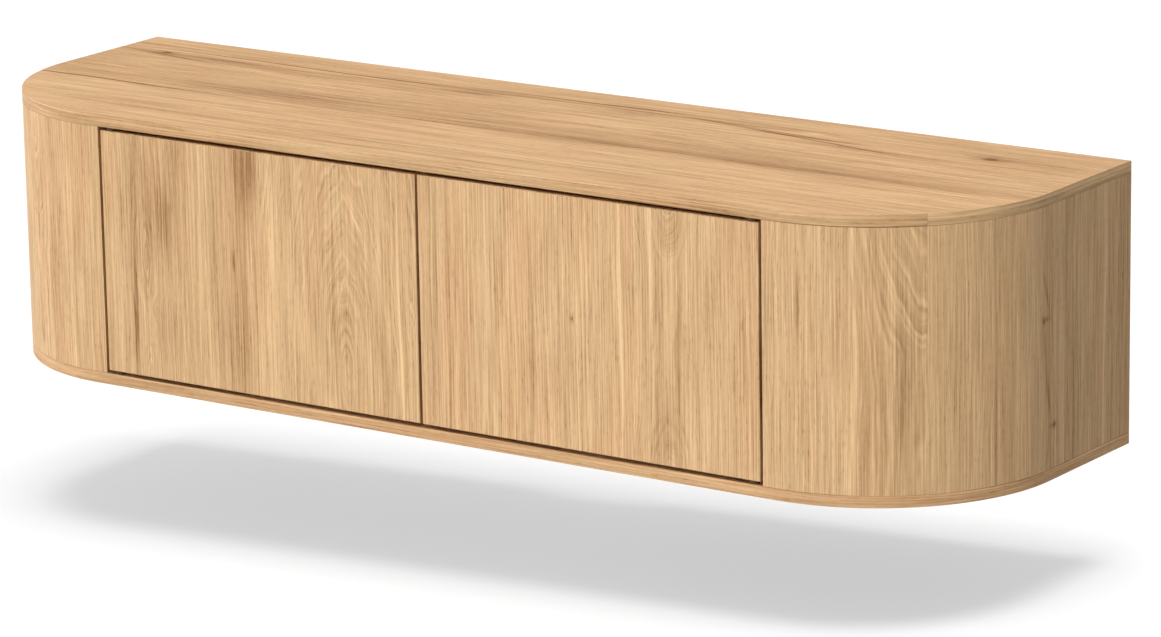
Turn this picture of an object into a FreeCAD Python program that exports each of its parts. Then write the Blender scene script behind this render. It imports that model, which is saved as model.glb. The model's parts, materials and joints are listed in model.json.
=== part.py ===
import FreeCAD, Part
import os
import re
import Sketcher

# A media console with rounded ends that hangs on a wall. Two doors lie flush between a top and a bottom slab.
# X runs along the front, Y points at the wall and Z up. The wall is the plane Y = 0. The origin is the middle
# of the wall rail's row of fixing holes, on the wall.

SIZES = {
    # the whole cabinet
    "width": 1600,
    "depth": 460,
    "height": 376,
    "corner": 252,
    # boards and their edge bands
    "slab": 16,
    "upright": 16,
    "partition": 16,
    "curved_side": 12,
    "back": 8,
    "groove": 5,
    "former": 16,
    "band": 1,
    # doors
    "door": 16,
    "gap_above": 4.5,
    "gap_beside": 4,
    "stop_gap": 3,
    "pivot_inset": 14,
    # door pivots
    "pin_radius": 3,
    "pin_play": 0.05,
    "pin_in_door": 25,
    "pin_in_slab": 11,
    "bush_radius": 5,
    "bush_depth": 12,
    "flange_radius": 7,
    "flange_play": 0.2,
    # push latches
    "latch_side": 14,
    "latch_drop": 30,
    "latch_length": 90,
    "latch_bore": 66,
    "plunger_radius": 4,
    "plunger_length": 56,
    "plunger_play": 0.05,
    "strike_radius": 9,
    "strike": 1.5,
    "latch_screw_radius": 1.5,
    "latch_screw_bite": 6,
    "latch_screw_end": 7,
    "latch_screw_pitch": 9,
    # shelves and their pins
    "shelf": 16,
    "shelf_height": 164,
    "shelf_setback": 20,
    "shelf_play": 1,
    "shelf_step": 32,
    "shelf_pin_radius": 2.5,
    "shelf_pin_bite": 7,
    "shelf_pin_reach": 9,
    "shelf_pin_front": 60,
    "shelf_pin_rear": 60,
    # cam fittings and dowels between slabs and boards
    "cam_radius": 7.5,
    "cam_depth": 12.5,
    "cam_reach": 24,
    "cam_bolt_radius": 3.5,
    "cam_bolt_bite": 10,
    "cam_bolt_grip": 4,
    "cam_set": 70,
    "dowel_radius": 4,
    "dowel_bite": 10,
    "dowel_length": 30,
    "dowel_set": 38,
    # wall rail
    "rail_drop": 60,
    "rail_space": 22,
    "rail_end_play": 3,
    "rail_wall": 2,
    "rail_foot": 20,
    "rail_neck": 14,
    "rail_step": 6,
    "rail_lip": 12,
    "rail_hole_radius": 4,
    "rail_hole_end": 49,
    "rail_hole_middle": 200,
    # cabinet hangers
    "hanger_thick": 16,
    "hanger_depth": 60,
    "hanger_head": 1,
    "hanger_height": 56,
    "hanger_wall": 10,
    "hanger_sole": 14,
    "hook_thick": 4,
    "hook_play": 0.2,
    "hook_arm": 10,
    "hook_nose": 4,
    "hook_nose_drop": 10,
    "hook_tail": 16,
    "hook_tail_drop": 28,
    "adjuster_radius": 3,
    "adjuster_head": 6,
    "adjuster_socket": 1.8,
    "adjuster_pitch": 16,
    "hanger_screw_radius": 2,
    "hanger_screw_head": 4,
    "hanger_screw_sunk": 2.5,
    "hanger_screw_bite": 10,
    "hanger_screw_pitch": 30,
    "cover": 2,
    # cable ways
    "notch_width": 160,
    "notch_depth": 20,
    "grommet_bore": 26,
    "grommet_wall": 4,
    "grommet_lip": 4,
    "grommet_lip_thick": 2,
    "grommet_height": 60,
    # screws that hold the formers to the slabs
    "former_screw_radius": 2,
    "former_screw_bite": 10,
    "former_screw_set": 60,
}

LEFT = -1
RIGHT = 1
SIDES = {"left": LEFT, "right": RIGHT}

# Heights, as formulas of the sizes
CEILING = "(rail_drop - slab)"
BASE = "(rail_drop - height)"
FLOOR = "(rail_drop - height + slab)"
SHELF_UNDER = "(rail_drop - height + slab + shelf_height)"
LATCH_AXIS = "(rail_drop - slab - latch_drop)"
LIP_TOP = "(rail_neck + rail_step + rail_lip)"

# Distances from the middle of the cabinet
UPRIGHT_OUTER = "(width / 2 - corner)"
UPRIGHT_INNER = "(width / 2 - corner - upright)"
DOOR_OUTER = "(width / 2 - corner - upright - gap_beside)"
DOOR_INNER = "(gap_beside / 2)"
PIVOT = "(width / 2 - corner - upright - gap_beside - pivot_inset)"
HOOK_MIDDLE = "(width / 2 - corner - upright - hanger_thick / 2)"
BAY_MIDDLE = "(width / 4 - corner / 2 - upright / 2 + partition / 4)"
LATCH_MIDDLE = "(partition / 2 + latch_side / 2)"

# Places between the front and the wall
FRONT = "(-depth)"
DOOR_BACK = "(door - depth)"
PARTITION_FRONT = "(door + stop_gap - depth)"
BACK_FRONT = "(-rail_space - back)"
CORNER_CENTRE = "(corner - depth)"

document = FreeCAD.newDocument("floating_media_console")
sheet = document.addObject("Spreadsheet::Sheet", "Sizes")
for row, (alias, value) in enumerate(SIZES.items(), start=1):
    sheet.set("A%d" % row, alias)
    sheet.set("B%d" % row, str(value))
    sheet.setAlias("B%d" % row, alias)
document.recompute()

nodes = []


def formula(text):
    """A formula whose words that name a size point at the sheet."""
    return re.sub("[a-z_]+", lambda word: "Sizes." + word[0] if word[0] in SIZES else word[0], text)


def number(text):
    """What a formula of the sizes comes to now."""
    return float(sheet.evalExpression(formula(text)))


def bind(item, **bindings):
    """Ties properties of an object to formulas; x, y and z are its place."""
    for key, text in bindings.items():
        item.setExpression("Placement.Base." + key if key in ("x", "y", "z") else key, formula(text))


def node(label, item):
    """Names an object as a sub-part of the console."""
    item.Label = label
    nodes.append(item)
    return item


def box(name, x, y, z):
    """A box between a low and a high formula on each axis."""
    item = document.addObject("Part::Box", name)
    bind(item, x=x[0], y=y[0], z=z[0])
    for side, (low, high) in {"Length": x, "Width": y, "Height": z}.items():
        bind(item, **{side: "(%s) - (%s)" % (high, low)})
    return item


TURNS = {
    "x": FreeCAD.Rotation(FreeCAD.Vector(0, 1, 0), 90),
    "y": FreeCAD.Rotation(FreeCAD.Vector(1, 0, 0), -90),
    "z": FreeCAD.Rotation(),
}


def rod(name, axis, start, radius, length):
    """A cylinder that runs from its start along the positive x, y or z."""
    item = document.addObject("Part::Cylinder", name)
    item.Placement = FreeCAD.Placement(FreeCAD.Vector(), TURNS[axis])
    bind(item, x=start[0], y=start[1], z=start[2], Radius=radius, Height=length)
    return item


def group(name, items):
    item = document.addObject("Part::Compound", name)
    item.Links = items
    return item


def fuse(name, items):
    item = document.addObject("Part::MultiFuse", name)
    item.Shapes = items
    return item


def cut(name, base, tools):
    item = document.addObject("Part::Cut", name)
    item.Base = base
    item.Tool = tools[0] if len(tools) == 1 else group(name + "_cuts", tools)
    return item


def across(side, inner, outer):
    """Low and high X of a stretch between two distances from the middle."""
    if side == RIGHT:
        return (inner, outer)
    return ("(-%s)" % outer, "(-%s)" % inner)


def outwards(side, distance):
    return distance if side == RIGHT else "(-%s)" % distance


# ---- outlines: a corner is (x, y), or (x, y, (centre x, centre y)) where a quarter arc starts at it ----


def backwards(corners):
    """The same open path, walked from its end."""
    arcs = [corner[2:] for corner in corners[:-1]]
    ends = [corner[:2] for corner in corners]
    return [end + arc for end, arc in zip(ends[::-1], arcs[::-1] + [()])]


def draw(sketch, corners):
    """Draws a closed outline and ties each corner to its formulas."""
    points = [FreeCAD.Vector(number(corner[0]), number(corner[1]), 0) for corner in corners]
    starts = []
    ends = []
    for index, corner in enumerate(corners):
        here = points[index]
        there = points[(index + 1) % len(corners)]
        if len(corner) == 2:
            sketch.addGeometry(Part.LineSegment(here, there), False)
            starts.append(1)
            ends.append(2)
            continue
        centre = FreeCAD.Vector(number(corner[2][0]), number(corner[2][1]), 0)
        leftwards = (here - centre).cross(there - centre).z > 0
        first, last = (here, there) if leftwards else (there, here)
        circle = Part.Circle(centre, FreeCAD.Vector(0, 0, 1), (here - centre).Length)
        arc = Part.ArcOfCircle(circle, circle.parameter(first), circle.parameter(last))
        sketch.addGeometry(arc, False)
        starts.append(1 if leftwards else 2)
        ends.append(2 if leftwards else 1)
    for index, corner in enumerate(corners):
        following = (index + 1) % len(corners)
        joint = Sketcher.Constraint("Coincident", index, ends[index], following, starts[following])
        sketch.addConstraint(joint)
    for index, corner in enumerate(corners):
        tie(sketch, "DistanceX", index, starts[index], corner[0])
        tie(sketch, "DistanceY", index, starts[index], corner[1])
        if len(corner) == 3:
            tie(sketch, "DistanceX", index, 3, corner[2][0])


def tie(sketch, kind, geometry, point, text):
    constraint = sketch.addConstraint(Sketcher.Constraint(kind, geometry, point, number(text)))
    sketch.setExpression("Constraints[%d]" % constraint, formula(text))


def plate(name, plane, corners, thickness, **place):
    """A body padded from one outline on its own XY or YZ plane."""
    body = document.addObject("PartDesign::Body", name)
    sketch = body.newObject("Sketcher::SketchObject", name + "_outline")
    support = [feature for feature in body.Origin.OriginFeatures if feature.Role == plane][0]
    sketch.AttachmentSupport = (support, [""])
    sketch.MapMode = "FlatFace"
    draw(sketch, corners)
    pad = body.newObject("PartDesign::Pad", name + "_pad")
    pad.Profile = sketch
    bind(pad, Length=thickness)
    body.Tip = pad
    bind(body, **place)
    return body


def rim(inset):
    """The slabs' edge from the left wall corner round the front to the right one, set in by a distance."""
    side = "(width / 2 - %s)" % inset
    front = "(%s - depth)" % inset
    return [
        ("-" + side, "0"),
        ("-" + side, CORNER_CENTRE, ("-" + UPRIGHT_OUTER, CORNER_CENTRE)),
        ("-" + UPRIGHT_OUTER, front),
        (UPRIGHT_OUTER, front, (UPRIGHT_OUTER, CORNER_CENTRE)),
        (side, CORNER_CENTRE),
        (side, "0"),
    ]


# ---- fittings that several boards are drilled for ----

JOINTS = {
    "left": outwards(LEFT, "(width / 2 - corner - upright / 2)"),
    "middle": "0",
    "right": outwards(RIGHT, "(width / 2 - corner - upright / 2)"),
}
CAM_FACES = {
    "left": "(-%s - cam_depth)" % UPRIGHT_INNER,
    "middle": "(partition / 2 - cam_depth)",
    "right": UPRIGHT_INNER,
}
CAM_ROWS = {"front": "(cam_set - depth)", "rear": "(%s - cam_set)" % BACK_FRONT}
DOWEL_ROWS = {"front": "(cam_set + dowel_set - depth)", "rear": "(%s - cam_set - dowel_set)" % BACK_FRONT}


def slab_joints():
    """Cam discs, cam bolts and dowels where the uprights and the partition meet the slabs."""
    discs = []
    bolts = []
    dowels = []
    for where, x in JOINTS.items():
        for row in CAM_ROWS:
            for end, face, into in (("lower", FLOOR, 1), ("upper", CEILING, -1)):
                name = "%s_%s_%s" % (where, row, end)
                disc_z = "%s + %d * cam_reach" % (face, into)
                place = (CAM_FACES[where], CAM_ROWS[row], disc_z)
                disc = rod("cam_" + name, "x", place, "cam_radius", "cam_depth")
                reach = "(cam_reach - cam_radius + cam_bolt_grip)"
                low = "%s - cam_bolt_bite" % face if into == 1 else "%s - %s" % (face, reach)
                bolt = rod("cam_bolt_" + name, "z", (x, CAM_ROWS[row], low), "cam_bolt_radius",
                           "cam_bolt_bite + " + reach)
                low = "%s - dowel_bite" % face if into == 1 else "%s + dowel_bite - dowel_length" % face
                dowel = rod("dowel_" + name, "z", (x, DOWEL_ROWS[row], low), "dowel_radius", "dowel_length")
                discs.append(disc)
                bolts.append(bolt)
                dowels.append(dowel)
    disc_group = group("cam_discs", discs)
    bolt_group = node("cam_bolts", group("cam_bolt_group", bolts))
    dowel_group = node("dowels", group("dowel_group", dowels))
    node("cam_locks", cut("cam_lock_group", disc_group, [bolt_group]))
    return [disc_group, bolt_group, dowel_group]


def shelf_pins():
    """Four pins under each shelf, and the rows of holes that let a shelf move up or down a step."""
    rows = {
        "front": "(door + stop_gap + shelf_setback + shelf_pin_front - depth)",
        "rear": "(%s - shelf_pin_rear)" % BACK_FRONT,
    }
    height = "%s - shelf_pin_radius" % SHELF_UNDER
    pins = []
    holes = []
    for side_name, side in SIDES.items():
        near = "(%s - shelf_pin_reach)" % UPRIGHT_INNER
        outer = across(side, near, "(%s + shelf_pin_bite)" % UPRIGHT_INNER)
        inner = across(side, "(partition / 2 - shelf_pin_bite)", "(partition / 2 + shelf_pin_reach)")
        for row, y in rows.items():
            for wall, x in (("outer", outer), ("inner", inner)):
                name = "%s_%s_%s" % (side_name, row, wall)
                length = "shelf_pin_bite + shelf_pin_reach"
                pins.append(rod("shelf_pin_" + name, "x", (x[0], y, height), "shelf_pin_radius", length))
                for step, word in ((-1, "low"), (0, "middle"), (1, "high")):
                    place = (x[0], y, "%s + %d * shelf_step" % (height, step))
                    hole_name = "shelf_hole_%s_%s" % (name, word)
                    holes.append(rod(hole_name, "x", place, "shelf_pin_radius", length))
    node("shelf_pins", group("shelf_pin_group", pins))
    return group("shelf_holes", holes)


def pivot_bushes():
    """Flanged bushes in the slabs that the doors' pivot pins turn in. Returns the sockets they fill."""
    bushes = []
    sockets = []
    y = "(door / 2 - depth)"
    flange = "(gap_above - flange_play)"
    for side_name, side in SIDES.items():
        x = outwards(side, PIVOT)
        for end in ("lower", "upper"):
            name = "%s_%s" % (side_name, end)
            sleeve_low = FLOOR + " - bush_depth" if end == "lower" else CEILING
            flange_low = FLOOR if end == "lower" else "%s - %s" % (CEILING, flange)
            whole_low = sleeve_low if end == "lower" else flange_low
            socket = rod("socket_" + name, "z", (x, y, sleeve_low), "bush_radius", "bush_depth")
            disc = rod("flange_" + name, "z", (x, y, flange_low), "flange_radius", flange)
            length = "bush_depth + " + flange
            bore = rod("bush_bore_" + name, "z", (x, y, whole_low), "pin_radius + pin_play", length)
            bushes.append(cut("bush_" + name, fuse("bush_blank_" + name, [socket, disc]), [bore]))
            sockets.append(socket)
    node("pivot_bushes", group("bush_group", bushes))
    return group("bush_sockets", sockets)


def former_screws():
    """Screws driven up and down through the formers into the slabs."""
    length = "former + former_screw_bite"
    screws = []
    for side_name, side in SIDES.items():
        near = outwards(side, "(%s + former_screw_set)" % UPRIGHT_OUTER)
        far = outwards(side, "(width / 2 - curved_side - former_screw_set)")
        places = {
            "front": (near, "(corner / 2 - depth)"),
            "middle": (near, "(%s - former_screw_set)" % BACK_FRONT),
            "end": (far, "(%s - former_screw_set)" % BACK_FRONT),
        }
        for where, (x, y) in places.items():
            for end, low in (("lower", FLOOR + " - former_screw_bite"), ("upper", CEILING + " - former")):
                name = "former_screw_%s_%s_%s" % (side_name, where, end)
                screws.append(rod(name, "z", (x, y, low), "former_screw_radius", length))
    return node("former_screws", group("former_screw_group", screws))


def hanger_screws():
    """Countersunk screws that hold the hangers to the uprights."""
    screws = []
    y_middle = "(%s - hanger_depth / 2)" % BACK_FRONT
    z = "(%s - hanger_head - hanger_height + hanger_sole / 2)" % CEILING
    face = "(%s - hanger_thick)" % UPRIGHT_INNER
    for side_name, side in SIDES.items():
        for row, turn in (("front", -1), ("rear", 1)):
            name = "hanger_screw_%s_%s" % (side_name, row)
            y = "%s + %d * hanger_screw_pitch / 2" % (y_middle, turn)
            shank = across(side, face, "(%s + hanger_screw_bite)" % UPRIGHT_INNER)
            head = across(side, face, "(%s + hanger_screw_sunk)" % face)
            length = "hanger_thick + hanger_screw_bite"
            parts = [
                rod(name + "_shank", "x", (shank[0], y, z), "hanger_screw_radius", length),
                rod(name + "_head", "x", (head[0], y, z), "hanger_screw_head", "hanger_screw_sunk"),
            ]
            screws.append(fuse(name, parts))
    return node("hanger_screws", group("hanger_screw_group", screws))


def latch_screws():
    """Two screws through each latch's tail into the partition."""
    screws = []
    for side_name, side in SIDES.items():
        x = across(side, "(partition / 2 - latch_screw_bite)", "(partition / 2 + latch_side)")
        for index, row in enumerate(("rear", "front")):
            y = "%s + latch_length - latch_screw_end - %d * latch_screw_pitch" % (PARTITION_FRONT, index)
            place = (x[0], y, LATCH_AXIS)
            name = "latch_screw_%s_%s" % (side_name, row)
            screws.append(rod(name, "x", place, "latch_screw_radius", "latch_side + latch_screw_bite"))
    return node("latch_screws", group("latch_screw_group", screws))


# ---- boards ----


def back_blank(name, x):
    """A back board that reaches into the slabs' grooves."""
    return box(name, x, (BACK_FRONT, "-rail_space"), ("%s - groove" % FLOOR, "%s + groove" % CEILING))


def back_boards():
    """The bays' back, with slots for the hooks and holes for the cable grommets, and a back for each end."""
    reach = "(%s + groove)" % UPRIGHT_INNER
    blank = back_blank("back_blank", ("-" + reach, reach))
    blanks = [blank]
    holes = []
    for side_name, side in SIDES.items():
        slot = across(side, "(%s - hook_thick)" % HOOK_MIDDLE, "(%s + hook_thick)" % HOOK_MIDDLE)
        through = (BACK_FRONT, "-rail_space")
        tall = (LIP_TOP + " - hook_nose_drop", CEILING + " + groove")
        holes.append(box("hook_slot_" + side_name, slot, through, tall))
        start = (outwards(side, BAY_MIDDLE), BACK_FRONT, FLOOR + " + grommet_height")
        holes.append(rod("grommet_hole_" + side_name, "y", start, "grommet_bore + grommet_wall", "back"))
        x = across(side, "(%s - groove)" % UPRIGHT_OUTER, "(width / 2 - curved_side)")
        blanks.append(node(side_name + "_end_back", back_blank(side_name + "_end_back_board", x)))
    node("back_panel", cut("back_board", blank, holes))
    return blanks


def slabs(tools):
    """The top and bottom slabs with their edge bands. The bottom one has a cable notch at the wall."""
    band = rim("0") + backwards(rim("band"))
    notch = [
        ("notch_width / 2", "0"),
        ("notch_width / 2", "-notch_depth"),
        ("-notch_width / 2", "-notch_depth"),
        ("-notch_width / 2", "0"),
    ]
    for place, z, extra in (("top", CEILING, []), ("bottom", BASE, notch)):
        blank = plate(place + "_slab_blank", "XY_Plane", rim("band") + extra, "slab", z=z)
        node(place + "_slab", cut(place + "_board", blank, tools))
        node(place + "_edge_band", plate(place + "_band", "XY_Plane", band, "slab", z=z))


def uprights(tools):
    """The boards between each bay and its rounded end, and the partition between the bays."""
    deep = ("(curved_side - depth)", "0")
    tall = (FLOOR, CEILING)
    for side_name, side in SIDES.items():
        blank = box(side_name + "_upright_blank", across(side, UPRIGHT_INNER, UPRIGHT_OUTER), deep, tall)
        node(side_name + "_upright", cut(side_name + "_upright_board", blank, tools))
    half = "(partition / 2)"
    blank = box("partition_blank", ("-" + half, half), (PARTITION_FRONT, BACK_FRONT), tall)
    node("centre_partition", cut("partition_board", blank, tools))


def rounded_end(side_name, side, screws):
    """A bent shell from the wall round to the door, and the two formers that it is glued round."""
    centre = (outwards(side, UPRIGHT_OUTER), CORNER_CENTRE)
    lip = outwards(side, UPRIGHT_INNER)

    def skin(inset):
        face = outwards(side, "(width / 2 - %s)" % inset)
        front = "(%s - depth)" % inset
        return [(face, "0"), (face, CORNER_CENTRE, centre), (centre[0], front), (lip, front)]

    shell = skin("0") + backwards(skin("curved_side"))
    height = "height - 2 * slab"
    node(side_name + "_curved_side", plate(side_name + "_shell", "XY_Plane", shell, height, z=FLOOR))
    wall = outwards(side, "(width / 2 - curved_side)")
    former = [
        (centre[0], BACK_FRONT),
        (centre[0], "(curved_side - depth)", centre),
        (wall, CORNER_CENTRE),
        (wall, BACK_FRONT),
    ]
    for end, z in (("lower", FLOOR), ("upper", CEILING + " - former")):
        name = "%s_%s_former" % (side_name, end)
        blank = plate(name + "_blank", "XY_Plane", former, "former", z=z)
        node(name, cut(name + "_board", blank, [screws]))


def bay_shelf(side_name, side):
    x = across(side, "(partition / 2 + shelf_play)", "(%s - shelf_play)" % UPRIGHT_INNER)
    y = ("(%s + shelf_setback)" % PARTITION_FRONT, "(%s - shelf_play)" % BACK_FRONT)
    z = (SHELF_UNDER, "(%s + shelf)" % SHELF_UNDER)
    node(side_name + "_shelf", box(side_name + "_shelf_board", x, y, z))


def grommets():
    """A plastic ring in each bay's back for cables."""
    rings = []
    for side_name, side in SIDES.items():
        x = outwards(side, BAY_MIDDLE)
        z = FLOOR + " + grommet_height"
        outside = "(grommet_bore + grommet_wall)"
        lip_y = BACK_FRONT + " - grommet_lip_thick"
        sleeve = rod("grommet_sleeve_" + side_name, "y", (x, BACK_FRONT, z), outside, "back")
        start = (x, lip_y, z)
        lip = rod("grommet_rim_" + side_name, "y", start, outside + " + grommet_lip", "grommet_lip_thick")
        bore = rod("grommet_bore_" + side_name, "y", start, "grommet_bore", "back + grommet_lip_thick")
        rings.append(cut("grommet_" + side_name, fuse("grommet_blank_" + side_name, [sleeve, lip]), [bore]))
    node("cable_grommets", group("grommet_group", rings))


# ---- doors ----


def swing_door(side_name, side):
    """A door with its edge band, pivot pins and strike plate."""
    x = across(side, DOOR_INNER, DOOR_OUTER)
    core_x = across(side, "(%s + band)" % DOOR_INNER, "(%s - band)" % DOOR_OUTER)
    y = (FRONT, DOOR_BACK)
    z = ("(%s + gap_above)" % FLOOR, "(%s - gap_above)" % CEILING)
    core_z = ("(%s + band)" % z[0], "(%s - band)" % z[1])
    pivot = (outwards(side, PIVOT), "(door / 2 - depth)")
    length = "pin_in_slab + gap_above + pin_in_door"
    lower = rod(side_name + "_lower_pin", "z", pivot + (FLOOR + " - pin_in_slab",), "pin_radius", length)
    start = "%s - gap_above - pin_in_door" % CEILING
    upper = rod(side_name + "_upper_pin", "z", pivot + (start,), "pin_radius", length)
    pins = node(side_name + "_door_pins", group(side_name + "_pins", [lower, upper]))
    core = box(side_name + "_door_core", core_x, y, core_z)
    node(side_name + "_door", cut(side_name + "_door_board", core, [pins]))
    hollow = box(side_name + "_door_hollow", core_x, y, core_z)
    frame = box(side_name + "_door_frame", x, y, z)
    node(side_name + "_door_edge_band", cut(side_name + "_door_band", frame, [hollow, pins]))
    start = (outwards(side, LATCH_MIDDLE), DOOR_BACK, LATCH_AXIS)
    node(side_name + "_strike", rod(side_name + "_strike_disc", "y", start, "strike_radius", "strike"))


def push_latch(side_name, side, screws):
    """A latch on the partition, with the plunger that springs the door open."""
    x = across(side, "(partition / 2)", "(partition / 2 + latch_side)")
    y = (PARTITION_FRONT, "(%s + latch_length)" % PARTITION_FRONT)
    z = (LATCH_AXIS + " - latch_side / 2", LATCH_AXIS + " + latch_side / 2")
    blank = box(side_name + "_latch_blank", x, y, z)
    start = (outwards(side, LATCH_MIDDLE), PARTITION_FRONT, LATCH_AXIS)
    bore = rod(side_name + "_latch_hole", "y", start, "plunger_radius + plunger_play", "latch_bore")
    node(side_name + "_latch", cut(side_name + "_latch_case", blank, [bore, screws]))
    start = (outwards(side, LATCH_MIDDLE), DOOR_BACK + " + strike", LATCH_AXIS)
    plunger = rod(side_name + "_plunger_rod", "y", start, "plunger_radius", "plunger_length")
    node(side_name + "_plunger", plunger)


# ---- hanging ----


def wall_rail():
    """A stepped steel rail whose upper lip stands clear of the wall for the hooks."""
    bend = "rail_neck + rail_step"
    section = [
        ("0", "-rail_foot"),
        ("0", "rail_neck"),
        ("-rail_step", bend),
        ("-rail_step", LIP_TOP),
        ("-rail_step - rail_wall", LIP_TOP),
        ("-rail_step - rail_wall", bend + " - rail_wall / 2"),
        ("-rail_wall", "rail_neck - rail_wall / 2"),
        ("-rail_wall", "-rail_foot"),
    ]
    end = "(%s - rail_end_play)" % UPRIGHT_INNER
    blank = plate("rail_blank", "YZ_Plane", section, "2 * " + end, x="-" + end)
    holes = []
    for pair, distance in (("outer", "(%s - rail_hole_end)" % end), ("inner", "rail_hole_middle")):
        for side_name, side in SIDES.items():
            start = (outwards(side, distance), "-rail_wall", "0")
            name = "rail_hole_%s_%s" % (pair, side_name)
            holes.append(rod(name, "y", start, "rail_hole_radius", "rail_wall"))
    node("wall_rail", cut("rail", blank, holes))


def hanger(side_name, side, screws):
    """A hanger case on the upright, its hook over the rail, two adjusters and a cover plate."""
    case_top = "(%s - hanger_head)" % CEILING
    case_front = "(%s - hanger_depth)" % BACK_FRONT
    tail_front = "(%s + hanger_wall)" % case_front
    tail_foot = "(%s - hook_tail_drop)" % LIP_TOP
    sole = "(%s - hanger_height + hanger_sole)" % case_top
    x = across(side, "(%s - hanger_thick)" % UPRIGHT_INNER, UPRIGHT_INNER)
    tall = (case_top + " - hanger_height", case_top)
    blank = box(side_name + "_hanger_blank", x, (case_front, BACK_FRONT), tall)
    half = "(hook_thick / 2 + hook_play)"
    slot_x = across(side, "(%s - %s)" % (HOOK_MIDDLE, half), "(%s + %s)" % (HOOK_MIDDLE, half))
    slot = box(side_name + "_hanger_slot", slot_x, (tail_front, BACK_FRONT), (sole, case_top))
    screw_x = outwards(side, HOOK_MIDDLE)
    low = "(%s + adjuster_radius)" % tail_foot
    rods = []
    sockets = []
    for index, row in enumerate(("lower", "upper")):
        z = "%s + %d * adjuster_pitch" % (low, index)
        name = "%s_%s_adjuster" % (side_name, row)
        place = (screw_x, "(%s - adjuster_head)" % case_front, z)
        rods.append(rod(name + "_rod", "y", place, "adjuster_radius", "hanger_wall + adjuster_head"))
        sockets.append(rod(name + "_socket", "y", place, "adjuster_socket", "adjuster_head / 2"))
    threads = group(side_name + "_adjuster_rods", rods)
    node(side_name + "_hanger", cut(side_name + "_hanger_case", blank, [slot, screws, threads]))
    node(side_name + "_hanger_adjusters", cut(side_name + "_adjusters", threads, [group(name, sockets)]))
    outline = [
        ("-rail_step + hook_play", LIP_TOP),
        ("-rail_step + hook_play", LIP_TOP + " - hook_nose_drop"),
        ("-rail_step + hook_play + hook_nose", LIP_TOP + " - hook_nose_drop"),
        ("-rail_step + hook_play + hook_nose", LIP_TOP + " + hook_arm"),
        (tail_front, LIP_TOP + " + hook_arm"),
        (tail_front, tail_foot),
        (tail_front + " + hook_tail", tail_foot),
        (tail_front + " + hook_tail", LIP_TOP),
    ]
    hook_x = across(side, "(%s - hook_thick / 2)" % HOOK_MIDDLE, "(%s + hook_thick / 2)" % HOOK_MIDDLE)
    hook = plate(side_name + "_hook_plate", "YZ_Plane", outline, "hook_thick", x=hook_x[0])
    node(side_name + "_hook", hook)
    face = across(side, "(%s - hanger_thick - cover)" % UPRIGHT_INNER, "(%s - hanger_thick)" % UPRIGHT_INNER)
    depth = ("(%s - adjuster_head)" % case_front, BACK_FRONT)
    node(side_name + "_hanger_cover", box(side_name + "_cover", face, depth, tall))


joint_tools = slab_joints()
shelf_holes = shelf_pins()
bush_sockets = pivot_bushes()
end_screws = former_screws()
case_screws = hanger_screws()
tail_screws = latch_screws()
backs = back_boards()
slabs(joint_tools + [bush_sockets, end_screws] + backs)
uprights(joint_tools + [shelf_holes, case_screws, tail_screws] + backs)
grommets()
wall_rail()
for name, direction in SIDES.items():
    rounded_end(name, direction, end_screws)
    bay_shelf(name, direction)
    swing_door(name, direction)
    push_latch(name, direction, tail_screws)
    hanger(name, direction, case_screws)
document.recompute()

failed = [item.Name for item in document.Objects if "Invalid" in item.State or "Error" in item.State]
if failed:
    raise RuntimeError("failed to recompute: " + ", ".join(failed))
for item in nodes:
    if item.Shape.isNull() or not item.Shape.isValid():
        raise RuntimeError("bad shape: " + item.Label)
os.makedirs("parts", exist_ok=True)
for item in nodes:
    item.Shape.exportStep("parts/%s.step" % item.Label)
    print("%-26s solids %2d  volume %10.0f" % (item.Label, len(item.Shape.Solids), item.Shape.Volume))
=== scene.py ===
"""Looks of the floating media console: veneers, edge bands, hardware finishes, studio light and camera."""

import json
import math
from typing import NamedTuple

import bpy
from mathutils import Matrix, Vector


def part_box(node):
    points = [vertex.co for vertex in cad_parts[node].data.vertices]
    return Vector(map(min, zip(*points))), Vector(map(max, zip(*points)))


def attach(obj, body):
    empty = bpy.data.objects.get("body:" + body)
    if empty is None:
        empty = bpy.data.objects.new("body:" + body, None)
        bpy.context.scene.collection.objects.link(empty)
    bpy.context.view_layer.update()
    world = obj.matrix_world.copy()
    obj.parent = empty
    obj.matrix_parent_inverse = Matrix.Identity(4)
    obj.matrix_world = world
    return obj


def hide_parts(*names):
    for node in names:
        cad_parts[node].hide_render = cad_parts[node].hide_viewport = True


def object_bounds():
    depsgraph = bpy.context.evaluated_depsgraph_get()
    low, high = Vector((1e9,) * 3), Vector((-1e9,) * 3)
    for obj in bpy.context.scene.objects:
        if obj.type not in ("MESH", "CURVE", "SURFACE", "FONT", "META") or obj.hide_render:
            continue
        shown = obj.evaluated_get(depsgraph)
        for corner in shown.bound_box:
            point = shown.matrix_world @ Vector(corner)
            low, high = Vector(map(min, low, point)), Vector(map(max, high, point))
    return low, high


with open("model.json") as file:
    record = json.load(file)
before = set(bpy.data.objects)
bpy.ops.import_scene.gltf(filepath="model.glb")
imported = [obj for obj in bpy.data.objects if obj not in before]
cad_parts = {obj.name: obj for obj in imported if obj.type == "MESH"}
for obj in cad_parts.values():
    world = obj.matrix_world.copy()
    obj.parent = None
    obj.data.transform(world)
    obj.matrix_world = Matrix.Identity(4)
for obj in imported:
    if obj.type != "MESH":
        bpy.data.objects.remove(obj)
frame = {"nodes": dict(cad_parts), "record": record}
cad_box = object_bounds()

# ---------------------------------------------------------------- sizes, read from the frame, in metres

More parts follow.
